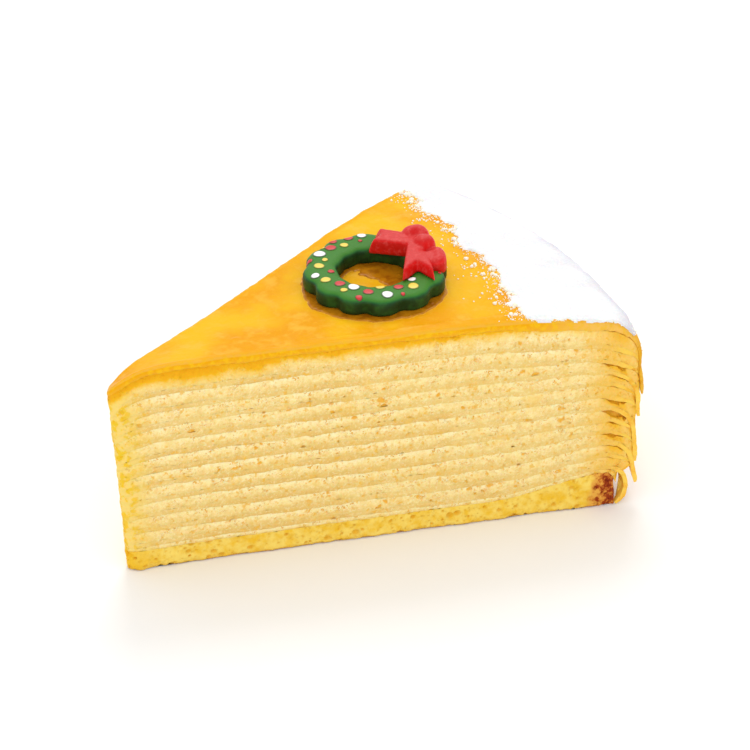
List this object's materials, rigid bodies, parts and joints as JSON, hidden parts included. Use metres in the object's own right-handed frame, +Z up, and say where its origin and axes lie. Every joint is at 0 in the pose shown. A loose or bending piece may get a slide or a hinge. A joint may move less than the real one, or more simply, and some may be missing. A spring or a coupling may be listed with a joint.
{
  "type": "crepe cake slice",
  "caption": "Wedge of crepe cake: crepes stacked with cream on a thin sponge, glazed top, sugared rim, and a sugar wreath with a bow; a dessert portion that stands on its base",
  "frame": {"origin": "under the middle of the bounding box, on the surface that the slice stands on", "axes": "+X runs along the middle of the slice from its tip to its curved rim, +Z is up, and the cut face shown first looks towards -Y"},
  "size_m": [0.1157, 0.0772, 0.0582],
  "materials": {
    "sponge": "open yellow sponge crumb, browned at the rim",
    "cream": "pale custard cream with small air bubbles, cut by a knife",
    "crepe": "soft thin pancake, light tan at the cut",
    "glaze": "wet clear orange-yellow glaze over the top crepe",
    "green_sugar": "moulded dark green sugar, faint sheen",
    "red_sugar": "moulded red sugar, faint sheen"
  },
  "bodies": {
    "root": {"sponge": "sponge", "cream_01": "cream", "crepe_01": "crepe", "cream_02": "cream", "crepe_02": "crepe", "cream_03": "cream", "crepe_03": "crepe", "cream_04": "cream", "crepe_04": "crepe", "cream_05": "cream", "crepe_05": "crepe", "cream_06": "cream", "crepe_06": "crepe", "cream_07": "cream", "crepe_07": "crepe", "cream_08": "cream", "crepe_08": "crepe", "cream_09": "cream", "crepe_09": "crepe", "cream_10": "cream", "crepe_10": "crepe", "cream_11": "cream", "crepe_11": "crepe", "cream_12": "cream", "crepe_12": "glaze", "wreath_ring": "green_sugar", "wreath_bow": "red_sugar"}
  },
  "joints": []
}
